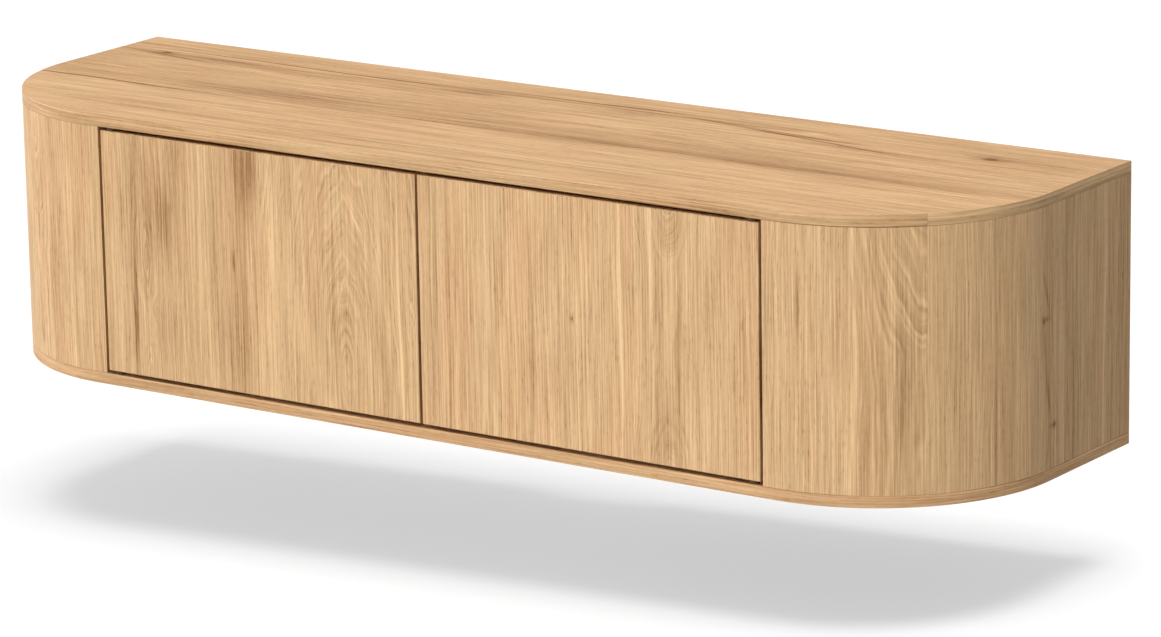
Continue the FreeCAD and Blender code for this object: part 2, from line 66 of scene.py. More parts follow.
BAND_LOW, BAND_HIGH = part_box("top_edge_band")
HALF_WIDTH = BAND_HIGH.x
DEPTH = -BAND_LOW.y
TOP = BAND_HIGH.z
CEILING = BAND_LOW.z
BASE_LOW, BASE_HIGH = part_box("bottom_edge_band")
UPRIGHT_LOW, UPRIGHT_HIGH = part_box("right_upright")
CORNER = HALF_WIDTH - UPRIGHT_HIGH.x
BAND = HALF_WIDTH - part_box("top_slab")[1].x
SHELL = DEPTH + UPRIGHT_LOW.y

# ---------------------------------------------------------------- sizes and steps chosen here

# The bands' outer corners are rounded this far, with one point in the middle, set in by a share of it.
EASE = 0.0007
EASE_MIDDLE = 0.3

# The cable notch in the bottom slab at the wall: half its width, and its depth.
NOTCH = (0.080, 0.020)

# Steps along the outline: from the wall to the corner, round the corner, and from there to the middle.
WALL_STEPS = 4
CORNER_STEPS = 40
FRONT_STEPS = 12

# Edges that turn by more than this angle, in radians, are drawn crisp.
CRISP = 0.6
CRISP_SHELL = 0.3
CRISP_DOOR_BAND = 1.2

# ---------------------------------------------------------------- the plan outline

SIDE_RUN = DEPTH - CORNER
QUARTER = CORNER * math.pi / 2
FRONT_RUN = 2 * (HALF_WIDTH - CORNER)
GIRTH = 2 * SIDE_RUN + 2 * QUARTER + FRONT_RUN


def rim_point(along, inset):
    """The outline at a distance along its outer edge from the left wall corner, set in towards the middle."""
    if along > GIRTH / 2:
        x, y = rim_point(GIRTH - along, inset)
        return -x, y
    if along <= SIDE_RUN:
        return inset - HALF_WIDTH, -along
    if along <= SIDE_RUN + QUARTER:
        turn = (along - SIDE_RUN) / CORNER
        reach = CORNER - inset
        return CORNER - HALF_WIDTH - reach * math.cos(turn), -SIDE_RUN - reach * math.sin(turn)
    return CORNER - HALF_WIDTH + along - SIDE_RUN - QUARTER, inset - DEPTH


def even_steps(low, high, count):
    """Evenly spaced numbers from low to high, both included."""
    return [low + (high - low) * step / count for step in range(count + 1)]


def rim_stations(start, end):
    """Distances along the outline, close together round the corners and wide apart on the straights."""
    marks = even_steps(0, SIDE_RUN, WALL_STEPS)
    marks += even_steps(SIDE_RUN, SIDE_RUN + QUARTER, CORNER_STEPS)
    marks += even_steps(SIDE_RUN + QUARTER, GIRTH / 2, FRONT_STEPS)
    marks += [GIRTH - mark for mark in marks]
    inner = sorted({round(mark, 6) for mark in marks if start < mark < end})
    return [start] + inner + [end]


# ---------------------------------------------------------------- meshes with a grain direction


def make_piece(name, points, faces, grain, material, body, node, crisp=CRISP):
    """A mesh piece whose "grain" attribute holds (across, along, through) for its veneer, in metres."""
    mesh = bpy.data.meshes.new(name)
    mesh.from_pydata(points, [], faces)
    mesh.validate()
    attribute = mesh.attributes.new("grain", "FLOAT_VECTOR", "POINT")
    attribute.data.foreach_set("vector", [number for row in grain for number in row])
    mesh.materials.append(material)
    piece = bpy.data.objects.new(name, mesh)
    bpy.context.scene.collection.objects.link(piece)
    mesh.shade_smooth()
    mesh.set_sharp_from_angle(angle=crisp)
    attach(piece, body)
    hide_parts(node)
    return piece


def sweep(stations, section):
    """Points and faces of a closed section of (inset, height) carried along the outline, with closed ends."""
    points = []
    for along in stations:
        for inset, height in section:
            points.append((*rim_point(along, inset), height))
    count = len(section)
    faces = [tuple(reversed(range(count)))]
    for row in range(len(stations) - 1):
        for index in range(count):
            here = row * count + index
            beside = row * count + (index + 1) % count
            faces.append((here, beside, beside + count, here + count))
    faces.append(tuple(range((len(stations) - 1) * count, len(stations) * count)))
    return points, faces


def eased_section(low, high):
    """An edge band's section as (inset, height): outer corners eased, inner corners square."""
    middle = EASE * EASE_MIDDLE
    return [
        (BAND, low),
        (EASE, low),
        (middle, low + middle),
        (0, low + EASE),
        (0, high - EASE),
        (middle, high - middle),
        (EASE, high),
        (BAND, high),
    ]


def slab(name, low, high, notch, material, node):
    """A board inside its edge band, with faces of one piece and a notch at the wall where it has one."""
    stations = rim_stations(0, GIRTH)
    outline = [rim_point(along, BAND) for along in stations]
    if notch:
        half, deep = notch
        outline += [(half, 0), (half, -deep), (-half, -deep), (-half, 0)]
    count = len(outline)
    points = [(x, y, low) for x, y in outline] + [(x, y, high) for x, y in outline]
    faces = [tuple(reversed(range(count))), tuple(range(count, 2 * count))]
    faces += [(i, (i + 1) % count, (i + 1) % count + count, i + count) for i in range(count)]
    grain = [(y, x, z) for x, y, z in points]
    return make_piece(name, points, faces, grain, material, "cabinet", node)


def edge_band(name, low, high, material, node):
    """The strip round a slab, from one wall corner round the front to the other and back along the wall."""
    stations = rim_stations(0, GIRTH)
    section = eased_section(low, high)
    points, faces = sweep(stations, section)
    grain = [(height, along, inset) for along in stations for inset, height in section]
    return make_piece(name, points, faces, grain, material, "cabinet", node)


def curved_side(name, side, material, node):
    """The bent shell from the wall round to the door."""
    reach = SIDE_RUN + QUARTER + UPRIGHT_HIGH.x - UPRIGHT_LOW.x
    start, end = (0, reach) if side < 0 else (GIRTH - reach, GIRTH)
    stations = rim_stations(start, end)
    section = [(SHELL, BASE_HIGH.z), (0, BASE_HIGH.z), (0, CEILING), (SHELL, CEILING)]
    points, faces = sweep(stations, section)
    run = [along if side < 0 else GIRTH - along for along in stations]
    grain = [(along, height, inset) for along in run for inset, height in section]
    return make_piece(name, points, faces, grain, material, "cabinet", node, CRISP_SHELL)


def door_core(name, node, body, material):
    """A door's board, inside its edge band."""
    low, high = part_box(node)
    corners = [(x, y, z) for x in (low.x, high.x) for y in (low.y, high.y) for z in (low.z, high.z)]
    faces = [(0, 1, 3, 2), (4, 6, 7, 5), (0, 4, 5, 1), (2, 3, 7, 6), (0, 2, 6, 4), (1, 5, 7, 3)]
    grain = [(x, z, y) for x, y, z in corners]
    return make_piece(name, corners, faces, grain, material, body, node)


def door_band(name, node, body, material):
    """The strip round a door's four edges, mitred at the corners and eased front and back."""
    low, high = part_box(node)
    points = []
    grain = []
    section = eased_section(low.y, high.y)
    for inset, y in section:
        x0, x1, z0, z1 = low.x + inset, high.x - inset, low.z + inset, high.z - inset
        for x, z in ((x0, z0), (x1, z0), (x1, z1), (x0, z1)):
            points.append((x, y, z))
            grain.append((x, z, y))
    count = len(section)
    faces = []
    for row in range(count):
        for index in range(4):
            beside = (index + 1) % 4
            after = (row + 1) % count
            faces.append((row * 4 + index, after * 4 + index, after * 4 + beside, row * 4 + beside))
    return make_piece(name, points, faces, grain, material, body, node, CRISP_DOOR_BAND)


# ---------------------------------------------------------------- node trees


class Graph:
    """A material's node tree, with sums written as calls."""

    def __init__(self, name):
        self.material = bpy.data.materials.new(name)
        self.material.use_nodes = True
        self.tree = self.material.node_tree
        self.shader = self.tree.nodes["Principled BSDF"]

    def node(self, kind, **settings):
        node = self.tree.nodes.new(kind)
        for key, value in settings.items():
            setattr(node, key, value)
        return node

    def feed(self, socket, value):
        if isinstance(value, bpy.types.NodeSocket):
            self.tree.links.new(value, socket)
        else:
            socket.default_value = value

    def math(self, operation, *values):
        node = self.node("ShaderNodeMath", operation=operation)
        for socket, value in zip(node.inputs, values):
            self.feed(socket, value)
        return node.outputs[0]

    def add(self, *values):
        total = values[0]
        for value in values[1:]:
            total = self.math("ADD", total, value)
        return total

    def times(self, *values):
        total = values[0]
        for value in values[1:]:
            total = self.math("MULTIPLY", total, value)
        return total

    def less(self, first, second):
        return self.math("SUBTRACT", first, second)

    def centred(self, noise):
        """Noise moved to lie from -0.5 to 0.5."""
        return self.less(noise, 0.5)

    def vector(self, x, y, z):
        node = self.node("ShaderNodeCombineXYZ")
        for socket, value in zip(node.inputs, (x, y, z)):
            self.feed(socket, value)
        return node.outputs[0]

    def split(self, vector):
        node = self.node("ShaderNodeSeparateXYZ")
        self.feed(node.inputs[0], vector)
        return node.outputs

    def noise(self, x, y, z, scale, detail=2.0, rough=0.5):
        """Noise from 0 to 1 whose scale differs by axis."""
        vector = self.vector(*(self.times(value, factor) for value, factor in zip((x, y, z), scale)))
        node = self.node("ShaderNodeTexNoise")
        self.feed(node.inputs["Vector"], vector)
        node.inputs["Scale"].default_value = 1
        node.inputs["Detail"].default_value = detail
        node.inputs["Roughness"].default_value = rough
        return node.outputs["Fac"]

    def ramp(self, value, low, high, start=0.0, end=1.0):
        """A smooth step from start to end as value goes from low to high."""
        node = self.node("ShaderNodeMapRange", interpolation_type="SMOOTHSTEP")
        for socket, number in zip(node.inputs, (value, low, high, start, end)):
            self.feed(socket, number)
        return node.outputs["Result"]

    def hill(self, value, width):
        """1 at nought, falling off as a bell with that half width."""
        scaled = self.times(value, 1 / width)
        return self.math("EXPONENT", self.times(scaled, scaled, -1))

    def choose(self, factor, first, second):
        """The first number where factor is 0, the second where it is 1; inputs 2 and 3 take numbers."""
        node = self.node("ShaderNodeMix", data_type="FLOAT")
        for socket, value in zip(node.inputs[:1] + node.inputs[2:4], (factor, first, second)):
            self.feed(socket, value)
        return node.outputs[0]

    def blend(self, factor, first, second, mode="MIX"):
        """The same for colours, which inputs 6 and 7 take and output 2 gives."""
        node = self.node("ShaderNodeMix", data_type="RGBA", blend_type=mode)
        for socket, value in zip((node.inputs[0], node.inputs[6], node.inputs[7]), (factor, first, second)):
            self.feed(socket, value)
        return node.outputs[2]

    def bump(self, height, distance, strength=1.0):
        node = self.node("ShaderNodeBump")
        self.feed(node.inputs["Height"], height)
        node.inputs["Distance"].default_value = distance
        node.inputs["Strength"].default_value = strength
        self.feed(self.shader.inputs["Normal"], node.outputs[0])

    def length(self, x, y):
        return self.math("SQRT", self.add(self.times(x, x), self.times(y, y)))

    def object_axes(self):
        return self.split(self.node("ShaderNodeTexCoord").outputs["Object"])

    def finish(self, **inputs):
        """The material, with these inputs of its shader set; _ stands for a space in their names."""
        for key, value in inputs.items():
            self.feed(self.shader.inputs[key.replace("_", " ")], value)
        return self.material


def srgb(red, green, blue):
    """A colour given as it looks on a screen, from 0 to 255, by the sRGB standard."""
    def linear(value):
        value /= 255
        return value / 12.92 if value <= 0.04045 else ((value + 0.055) / 1.055) ** 2.4
    return (linear(red), linear(green), linear(blue), 1)


# ---------------------------------------------------------------- oak

OAK_LIGHT = srgb(250, 211, 160)
OAK_DARK = srgb(144, 97, 51)
OAK_ROSE = (1.0, 0.93, 0.91, 1)

# How dark plain veneer is, from 0 to 1, and how much each part of its figure changes that.
GROUND_TONE = 0.29
RING_TONE = 0.17
FIBRE_TONE = 1.20
THREAD_TONE = 0.60
LINE_TONE = 0.17
PORE_TONE = 0.22
MOTTLE_TONE = 0.14
FLECK_TONE = 0.16
JOINT_TONE = 0.12
KNOT_TONE = 0.42
KNOT_HALO_TONE = 0.16
ROSE_SHARE = 0.8

# Waves per metre: across, along and through the grain.
SWAY_SCALE = (5, 1.6, 5)
SHIVER_SCALE = (36, 5, 36)
JAG_SCALE = (60, 22, 60)
PLAIN_SCALE = (60, 9, 60)
FIBRE_SCALE = (520, 6.5, 520)
DASH_SCALE = (430, 66, 430)
MOTTLE_SCALE = (18, 3.6, 18)
FLECK_SCALE = (170, 75, 170)
ROSE_SCALE = (20, 2.2, 20)

# Waves per metre: away from the heart, along and through the grain.
DRIFT_SCALE = (38, 0.7, 1)
JOLT_SCALE = (120, 2.0, 1)
THREAD_SCALE = (300, 1.8, 1)
LINE_SCALE = (60, 1.8, 1)

# Growth rings per metre, and by how many of them drift and jolt move a ring.
RINGS = 240
DRIFT_RINGS = 6
JOLT_RINGS = 2.2

# How far, in metres, sway, shiver and jag move the rings, and sway and shiver the streaks.
SWAY_REACH = 0.030
SHIVER_REACH = 0.018
JAG_REACH = 0.004
STREAK_SWAY = 0.020
STREAK_SHIVER = 0.010

# Parts of a ring, from one to the next, over which it darkens and then pales.
RING_DARKENS = (0.62, 1.0)
RING_PALES = (0.0, 0.45)

# Noise from the first number to the second takes the strength of the rings from the third to the fourth.
RING_STRENGTH = (0.35, 0.62, 0.1, 1.3)

# Noise over which pores and rosy places set in.
PORE_RANGE = (0.56, 0.72)
ROSE_RANGE = (0.40, 0.62)

# How strong pores are on plain veneer, and how much stronger in a ring's dark line.
PORES_PLAIN = 0.4
PORES_IN_RINGS = 0.6

# How strong the rosy tint is on the palest veneer, and how much stronger on the darkest.
ROSE_ON_PALE = 0.75
ROSE_ON_DARK = 0.6
ROSE_SEED = 4.0

# The parts of a streak's strength that are even and that follow its threads.
STREAK_EVEN = 0.4
STREAK_THREADS = 1.2

# Near a knot, in its half widths: how far it pushes the grain aside, and over what distance across and along.
KNOT_PUSH = 1.2
KNOT_PUSH_ACROSS = 1.5
KNOT_PUSH_ALONG = 4

# How much longer than wide a knot is, and in half widths how ragged it is and where core and halo fade out.
KNOT_LONG = 1.7
KNOT_RAGGED = 0.8
KNOT_CORE = (0.25, 1.1)
KNOT_HALO = (0.5, 3.2)

# A joint's dark line is this wide in metres. A leaf starting EVERYWHERE lies left of every piece, and each
# leaf's rings are moved by LEAF_SHIFT times its start, so that neighbours differ.
JOINT_WIDTH = 0.0007
EVERYWHERE = -9.0
LEAF_SHIFT = 0.37

# The relief in metres, and the shares of it by which pores and rings lie deep and fibres stand out.
OAK_RELIEF = 0.0004
PORE_DEPTH = 0.8
RING_DEPTH = 0.25
FIBRE_HEIGHT = 0.5
RELIEF_STRENGTH = 0.5

# The roughness of the palest veneer, and how much rougher the darkest is, and pores are.
OAK_ROUGHNESS = 0.54
DARK_ROUGHNESS = 0.16
PORE_ROUGHNESS = 0.1
OAK_SPECULAR = 0.2


class Leaf(NamedTuple):
    """One leaf of veneer, from start across the grain to where the next begins.

    Growth rings are rings about the heart. The heart comes to the surface at each eye, a height along the
    grain, and sinks away from it by lean as far as sunk: a heart inside the leaf gives arches near its eyes,
    and one far outside gives plain lines. ripple is how wavy the rings are, figure how strong, and coarse
    how wide.
    """

    start: float
    heart: float
    eyes: tuple = ()
    lean: float = 0.3
    sunk: float = 0.06
    tone: float = 0.0
    ripple: float = 0.4
    figure: float = 1.0
    coarse: float = 1.0


PLAIN_LEAF = Leaf(EVERYWHERE, -0.6)


def grain_axes(graph, grain):
    """Where a point lies across, along and through the grain."""
    if grain == "attribute":
        return graph.split(graph.node("ShaderNodeAttribute", attribute_name="grain").outputs["Vector"])
    parts = dict(zip("xyz", graph.object_axes()))
    return [parts[letter] for letter in grain]


def past_knots(graph, across, along, knots):
    """The grain, pushed aside near each knot."""
    for where, height, size in knots:
        near = graph.hill(graph.less(across, where), size * KNOT_PUSH_ACROSS)
        beside = graph.hill(graph.less(along, height), size * KNOT_PUSH_ALONG)
        across = graph.add(across, graph.times(near, beside, size * KNOT_PUSH))
    return across


def heart_distance(graph, bent, along, waves, leaf):
    """How far a point of a leaf's face lies from its heart."""
    shiver, jag = waves
    depth = leaf.sunk
    for eye in leaf.eyes:
        away = graph.math("ABSOLUTE", graph.less(along, eye))
        depth = graph.math("MINIMUM", depth, graph.times(away, leaf.lean))
    reach = graph.length(graph.less(bent, leaf.heart), depth)
    shiver = graph.times(shiver, SHIVER_REACH * leaf.ripple)
    jag = graph.times(jag, JAG_REACH * leaf.ripple**2)
    return graph.times(graph.add(reach, shiver, jag, leaf.start * LEAF_SHIFT), 1 / leaf.coarse)


def ring_figure(graph, axes, distance):
    """Early wood: a dark line where one growth ring meets the next, stronger in some places."""
    across, along, through = axes
    drift = graph.noise(distance, along, through, DRIFT_SCALE)
    jolt = graph.noise(distance, along, through, JOLT_SCALE, detail=1)
    phase = graph.add(
        graph.times(distance, RINGS),
        graph.times(drift, DRIFT_RINGS),
        graph.times(jolt, JOLT_RINGS),
    )
    phase = graph.math("FRACT", phase)
    early = graph.less(graph.ramp(phase, *RING_DARKENS), graph.ramp(phase, *RING_PALES, -1.0, 0.0))
    plain = graph.noise(across, along, through, PLAIN_SCALE)
    return graph.times(early, graph.ramp(plain, *RING_STRENGTH))


def streak_tone(graph, loose, along, thread, streak):
    """A streak: a soft-edged patch along the grain, made of threads."""
    where, height, wide, long, strength, *slope = streak
    up = graph.less(along, height)
    beside = graph.less(loose, graph.add(where, graph.times(up, *slope)) if slope else where)
    shape = graph.times(graph.hill(beside, wide), graph.hill(up, long))
    return graph.times(shape, graph.add(STREAK_EVEN, graph.times(thread, STREAK_THREADS)), strength)


def knot_tone(graph, across, along, shiver, knot):
    """A knot: a dark core longer along the grain, in a wide and fainter halo."""
    where, height, size = knot
    x = graph.times(graph.less(across, where), 1 / size)
    y = graph.times(graph.less(along, height), 1 / (KNOT_LONG * size))
    far = graph.add(graph.length(x, y), graph.times(shiver, KNOT_RAGGED))
    core = graph.ramp(far, *KNOT_CORE, KNOT_TONE, 0.0)
    return graph.add(core, graph.ramp(far, *KNOT_HALO, KNOT_HALO_TONE, 0.0))


def oak(
    name,
    grain,
    leaves=(PLAIN_LEAF,),
    streaks=(),
    knots=(),
    tone=0.0,
    rose=0.0,
    seed=0.0,
    wander=1.0,
    joints=(),
    clouds=1.0,
):
    """Veneer of several leaves side by side.

    grain is "attribute", or the letters of the axes that run across, along and through the grain.
    A streak is (across, along, half width, half length, strength), and may slant: the last number is how far
    it moves across for each metre along. A knot is (across, along, half width).
    A joint is (along, change of tone), a butt joint across the grain. tone darkens the whole veneer, rose
    warms it, wander is how far its lines stray, and clouds is how strong its broad dark and pale areas are.
    """
    graph = Graph(name)
    across, along, through = grain_axes(graph, grain)
    through = graph.add(through, seed)
    for where, _ in joints:
        through = graph.add(through, graph.math("GREATER_THAN", along, where))
    axes = (across, along, through)

    sway = graph.centred(graph.noise(*axes, SWAY_SCALE))
    shiver = graph.centred(graph.noise(*axes, SHIVER_SCALE))
    jag = graph.centred(graph.noise(*axes, JAG_SCALE, detail=1))
    waves = (graph.times(shiver, wander), graph.times(jag, wander))
    bent = graph.add(across, graph.times(sway, SWAY_REACH * wander))
    bent = past_knots(graph, bent, along, knots)

    distance = heart_distance(graph, bent, along, waves, leaves[0])
    leaf_tone = leaves[0].tone
    figure = leaves[0].figure
    for leaf in leaves[1:]:
        inside = graph.math("GREATER_THAN", across, leaf.start)
        distance = graph.choose(inside, distance, heart_distance(graph, bent, along, waves, leaf))
        leaf_tone = graph.choose(inside, leaf_tone, leaf.tone)
        figure = graph.choose(inside, figure, leaf.figure)

    early = graph.times(ring_figure(graph, axes, distance), figure)
    fibre = graph.noise(*axes, FIBRE_SCALE, rough=0.7)
    thread = graph.noise(distance, along, through, THREAD_SCALE, rough=0.7)
    lines = graph.noise(distance, along, through, LINE_SCALE, rough=0.6)
    dash = graph.noise(*axes, DASH_SCALE, detail=1)
    porous = graph.add(PORES_PLAIN, graph.times(early, PORES_IN_RINGS))
    pores = graph.times(graph.ramp(dash, *PORE_RANGE), porous)
    mottle = graph.noise(*axes, MOTTLE_SCALE, detail=3, rough=0.6)
    fleck = graph.noise(*axes, FLECK_SCALE, rough=0.7)
    dark = graph.add(
        GROUND_TONE + tone,
        leaf_tone,
        graph.times(early, RING_TONE),
        graph.times(graph.centred(fibre), FIBRE_TONE),
        graph.times(graph.centred(thread), THREAD_TONE),
        graph.times(graph.centred(lines), LINE_TONE),
        graph.times(pores, PORE_TONE),
        graph.times(graph.centred(mottle), MOTTLE_TONE * clouds),
        graph.times(graph.centred(fleck), FLECK_TONE),
    )
    for where, change in joints:
        beyond = graph.math("GREATER_THAN", along, where)
        line = graph.hill(graph.less(along, where), JOINT_WIDTH)
        dark = graph.add(dark, graph.times(beyond, change), graph.times(line, JOINT_TONE))
    loose = graph.add(
        across,
        graph.times(shiver, STREAK_SHIVER * wander),
        graph.times(sway, STREAK_SWAY * wander),
    )
    for streak in streaks:
        dark = graph.add(dark, streak_tone(graph, loose, along, thread, streak))
    for knot in knots:
        dark = graph.add(dark, knot_tone(graph, across, along, shiver, knot))
    dark = graph.math("MINIMUM", graph.math("MAXIMUM", dark, 0.0), 1.0)

    rosy = graph.noise(across, along, graph.add(through, ROSE_SEED), ROSE_SCALE, detail=3, rough=0.6)
    rosy = graph.add(graph.times(graph.ramp(rosy, *ROSE_RANGE), ROSE_SHARE), rose)
    rosy = graph.times(rosy, graph.add(ROSE_ON_PALE, graph.times(dark, ROSE_ON_DARK)))
    colour = graph.blend(dark, OAK_LIGHT, OAK_DARK)
    colour = graph.blend(rosy, colour, OAK_ROSE, mode="MULTIPLY")
    hollow = graph.add(graph.times(pores, PORE_DEPTH), graph.times(early, RING_DEPTH))
    graph.bump(graph.less(graph.times(fibre, FIBRE_HEIGHT), hollow), OAK_RELIEF, RELIEF_STRENGTH)
    rough = graph.add(OAK_ROUGHNESS, graph.times(dark, DARK_ROUGHNESS), graph.times(pores, PORE_ROUGHNESS))
    graph.shader.inputs["Specular IOR Level"].default_value = OAK_SPECULAR
    return graph.finish(Base_Color=colour, Roughness=rough)


# ---------------------------------------------------------------- other finishes

# The three numbers of a noise are its waves per metre along X, Y and Z.


def shaded(colour, factor, lift=0.0):
    """A colour times factor plus lift, with no channel over 1."""
    return tuple(min(1, channel * factor + lift) for channel in colour[:3]) + (1,)


def plated_steel(name, colour, rough):
    """Zinc-plated steel: faint spangle, small scratches along X."""
    graph = Graph(name)
    x, y, z = graph.object_axes()
    spangle = graph.noise(x, y, z, (160, 160, 160), detail=2)
    scratch = graph.noise(x, y, z, (40, 1800, 1800), detail=2)
    shade = graph.blend(graph.ramp(spangle, 0.3, 0.7), colour, shaded(colour, 0.72))
    graph.bump(graph.add(graph.times(scratch, 0.6), graph.times(spangle, 0.4)), 0.0001, 0.4)
    roughness = graph.add(rough, graph.times(spangle, 0.16), graph.times(scratch, 0.08))
    return graph.finish(Base_Color=shade, Roughness=roughness, Metallic=1.0)


def moulded(name, colour, rough):
    """Moulded plastic with a fine spark-eroded texture."""
    graph = Graph(name)
    x, y, z = graph.object_axes()
    grit = graph.noise(x, y, z, (2200, 2200, 2200), detail=2)
    cloud = graph.noise(x, y, z, (60, 60, 60), detail=3)
    shade = graph.blend(graph.times(cloud, 0.6), colour, shaded(colour, 1.25, lift=0.01))
    graph.bump(grit, 0.0001, 0.5)
    graph.shader.inputs["Specular IOR Level"].default_value = 0.3
    return graph.finish(Base_Color=shade, Roughness=graph.add(rough, graph.times(cloud, 0.12)))


def painted(name, colour, rough):
    """Powder-coated metal with a light orange peel."""
    graph = Graph(name)
    x, y, z = graph.object_axes()
    peel = graph.noise(x, y, z, (700, 700, 700), detail=1)
    cloud = graph.noise(x, y, z, (30, 30, 30), detail=2)
    shade = graph.blend(cloud, colour, shaded(colour, 0.88))
    graph.bump(peel, 0.0001, 0.35)
    return graph.finish(Base_Color=shade, Roughness=graph.add(rough, graph.times(peel, 0.1)))


def plywood(name):
    """Plywood: plies stacked along Z, with end grain specks."""
    graph = Graph(name)
    x, y, z = graph.object_axes()
    wave = graph.noise(x, y, z, (12, 12, 12), detail=2)
    level = graph.math("FRACT", graph.add(graph.times(z, 380), graph.times(wave, 0.12)))
    ply = graph.less(graph.ramp(level, 0.46, 0.5), graph.ramp(level, 0.96, 1.0))
    speck = graph.noise(x, y, z, (500, 500, 1500), detail=2)
    figure = graph.noise(x, y, z, (180, 5, 180), detail=3)
    mixed = graph.add(graph.times(ply, 0.42), graph.times(speck, 0.3), graph.times(figure, 0.3))
    graph.bump(speck, 0.0003, 0.4)
    colour = graph.blend(mixed, srgb(226, 192, 148), srgb(160, 116, 76))
    return graph.finish(Base_Color=colour, Roughness=graph.add(0.62, graph.times(speck, 0.15)))


# ---------------------------------------------------------------- which finish goes where

# Places across the grain are X on the doors, the distance from the wall corner on the curved sides, Y on the
# slabs and the height on the slabs' edge bands. Places along it are the height, X on the slabs, and the
# distance round the outline on the bands.
DOOR_LEFT = oak(
    "oak_left_door",
    "attribute",
    leaves=[
        Leaf(EVERYWHERE, -0.452, (-0.13, -0.30), lean=0.18, sunk=0.012, tone=0.07, ripple=1.0, figure=0.5),
        Leaf(-0.381, -0.9, tone=0.06, ripple=0.4, figure=0.4),
        Leaf(-0.261, -0.123, (-0.25,), lean=0.24, sunk=0.2, tone=0.01, ripple=1.1, figure=0.6),
    ],
    streaks=[
        (-0.474, -0.19, 0.0042, 0.080, 0.44, 0.03),
        (-0.470, -0.04, 0.020, 0.13, 0.10),
        (-0.430, -0.070, 0.028, 0.060, 0.26),
        (-0.425, -0.22, 0.030, 0.030, 0.12),
        (-0.400, 0.02, 0.014, 0.06, 0.14),
        (-0.340, -0.12, 0.004, 0.16, 0.12),
        (-0.330, -0.21, 0.010, 0.06, 0.14),
        (-0.281, 0.02, 0.016, 0.055, 0.44),
        (-0.298, 0.03, 0.0030, 0.045, 0.26),
        (-0.264, 0.01, 0.0026, 0.040, 0.30),
        (-0.285, -0.04, 0.010, 0.05, 0.16),
        (-0.290, -0.12, 0.0035, 0.06, 0.16),
        (-0.305, -0.115, 0.0028, 0.014, 0.40),
        (-0.302, -0.20, 0.0035, 0.085, 0.30),
        (-0.288, -0.22, 0.0070, 0.08, 0.16),
        (-0.268, -0.15, 0.0030, 0.15, 0.16),
        (-0.146, -0.15, 0.0100, 0.09, 0.12),
        (-0.108, -0.010, 0.0013, 0.013, -0.34, -0.5),
        (-0.105, -0.026, 0.0013, 0.015, -0.34, -0.5),
        (-0.097, -0.040, 0.0013, 0.014, -0.30, -0.5),
        (-0.128, -0.130, 0.0012, 0.020, -0.22, 0.3),
        (-0.032, -0.16, 0.0020, 0.16, -0.52),
        (-0.360, -0.15, 0.018, 0.25, -0.09),
        (-0.240, -0.13, 0.020, 0.30, -0.14),
        (-0.505, -0.15, 0.016, 0.30, -0.10),
        (-0.018, -0.12, 0.0030, 0.20, -0.12),
        (-0.187, -0.10, 0.0030, 0.20, -0.14),
    ],
    tone=0.01,
    rose=-0.30,
    seed=3.1,
    clouds=1.3,
)
DOOR_RIGHT = oak(
    "oak_right_door",
    "attribute",
    leaves=[
        Leaf(EVERYWHERE, -0.7, tone=0.03, ripple=0.2, figure=0.35),
        Leaf(0.102, -0.9, tone=-0.03, ripple=0.2, figure=0.9),
        Leaf(0.320, 0.393, (0.070, -0.33), lean=0.32, sunk=0.030, tone=0.02, ripple=0.7, figure=0.5),
        Leaf(0.440, 1.4, tone=0.01, ripple=0.6, figure=0.6),
    ],
    streaks=[
        (0.049, -0.16, 0.0035, 0.30, 0.16),
        (0.023, -0.12, 0.0080, 0.30, 0.08),
        (0.178, -0.16, 0.0030, 0.20, 0.16),
        (0.236, -0.12, 0.0080, 0.10, 0.12),
        (0.318, -0.16, 0.0022, 0.22, -0.44),
        (0.364, -0.02, 0.0025, 0.09, -0.30),
        (0.376, -0.12, 0.0070, 0.16, 0.14),
        (0.407, -0.14, 0.0040, 0.16, 0.24),
        (0.395, 0.02, 0.0160, 0.05, 0.14),
        (0.388, -0.26, 0.0120, 0.04, 0.16),
        (0.500, -0.08, 0.0050, 0.10, 0.14),
    ],
    knots=[(0.243, -0.121, 0.0022)],
    seed=5.7,
)
